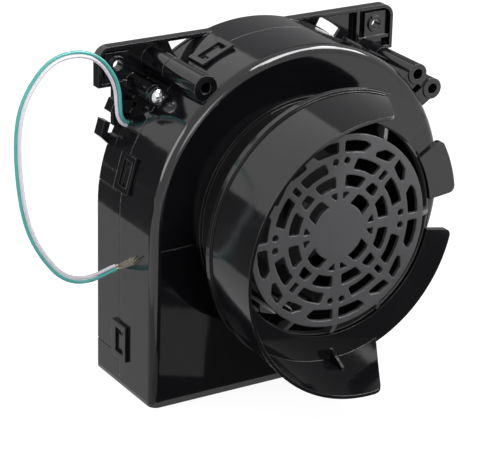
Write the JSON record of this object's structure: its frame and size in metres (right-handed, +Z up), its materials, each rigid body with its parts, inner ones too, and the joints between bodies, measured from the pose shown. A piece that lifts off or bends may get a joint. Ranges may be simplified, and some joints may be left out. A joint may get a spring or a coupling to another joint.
{
  "type": "dc blower fan",
  "caption": "Centrifugal blower with a flat scroll housing, a downward outlet, a round inlet collar with web grille and part hood, a mounting bar and loose bare-ended leads.",
  "frame": {"origin": "middle of the part's bounding box, on the outlet face, with the free leads left out", "axes": "+Z up, away from the outlet; -Y along the fan axis towards the inlet; +Y out of the back face; +X to the right seen from the inlet"},
  "size_m": [0.199, 0.11, 0.1557],
  "materials": {
    "housing_abs": "glossy black moulded ABS",
    "collar_abs": "glossy black moulded ABS",
    "grille_abs": "semi-gloss black moulded ABS",
    "impeller_plastic": "semi-matte black polypropylene",
    "brass": "turned brass",
    "bronze": "sintered bronze",
    "copper": "enamelled copper wire",
    "steel": "ground steel",
    "zinc_steel": "bright zinc-plated steel",
    "electrical_steel": "stamped laminations",
    "ferrite": "sintered ferrite",
    "carbon": "pressed carbon",
    "fibre": "pressed fibre",
    "nylon": "natural nylon",
    "rubber": "moulded rubber",
    "pvc_teal": "soft PVC insulation, teal",
    "pvc_white": "soft PVC insulation, white",
    "tinned_copper": "tinned copper strands"
  },
  "bodies": {
    "housing": {"rear_shell": "housing_abs", "front_shell": "housing_abs", "inlet_collar": "collar_abs", "inlet_grille": "grille_abs", "motor_can": "zinc_steel", "motor_end_cap": "nylon", "front_bearing": "bronze", "rear_bearing": "bronze", "magnets": "ferrite", "brushes": "carbon", "terminals": "brass", "motor_sleeve": "rubber", "motor_bracket": "zinc_steel", "bracket_screws": "zinc_steel", "motor_screws": "zinc_steel", "housing_screws": "zinc_steel", "inner_leads": "pvc_teal", "lead_teal": "pvc_teal", "lead_white": "pvc_white", "lead_teal_end": "tinned_copper", "lead_white_end": "tinned_copper"},
    "rotor": {"impeller": "impeller_plastic", "impeller_bush": "brass", "shaft_clip": "steel", "motor_shaft": "steel", "armature_core": "electrical_steel", "armature_windings": "copper", "commutator": "copper", "thrust_washers": "fibre"}
  },
  "joints": [
    {"name": "fan_spin", "type": "hinge", "parent": "housing", "child": "rotor", "pos_m": [0, 0.02, 0.0808], "axis": [0, -1, 0], "continuous": true}
  ]
}
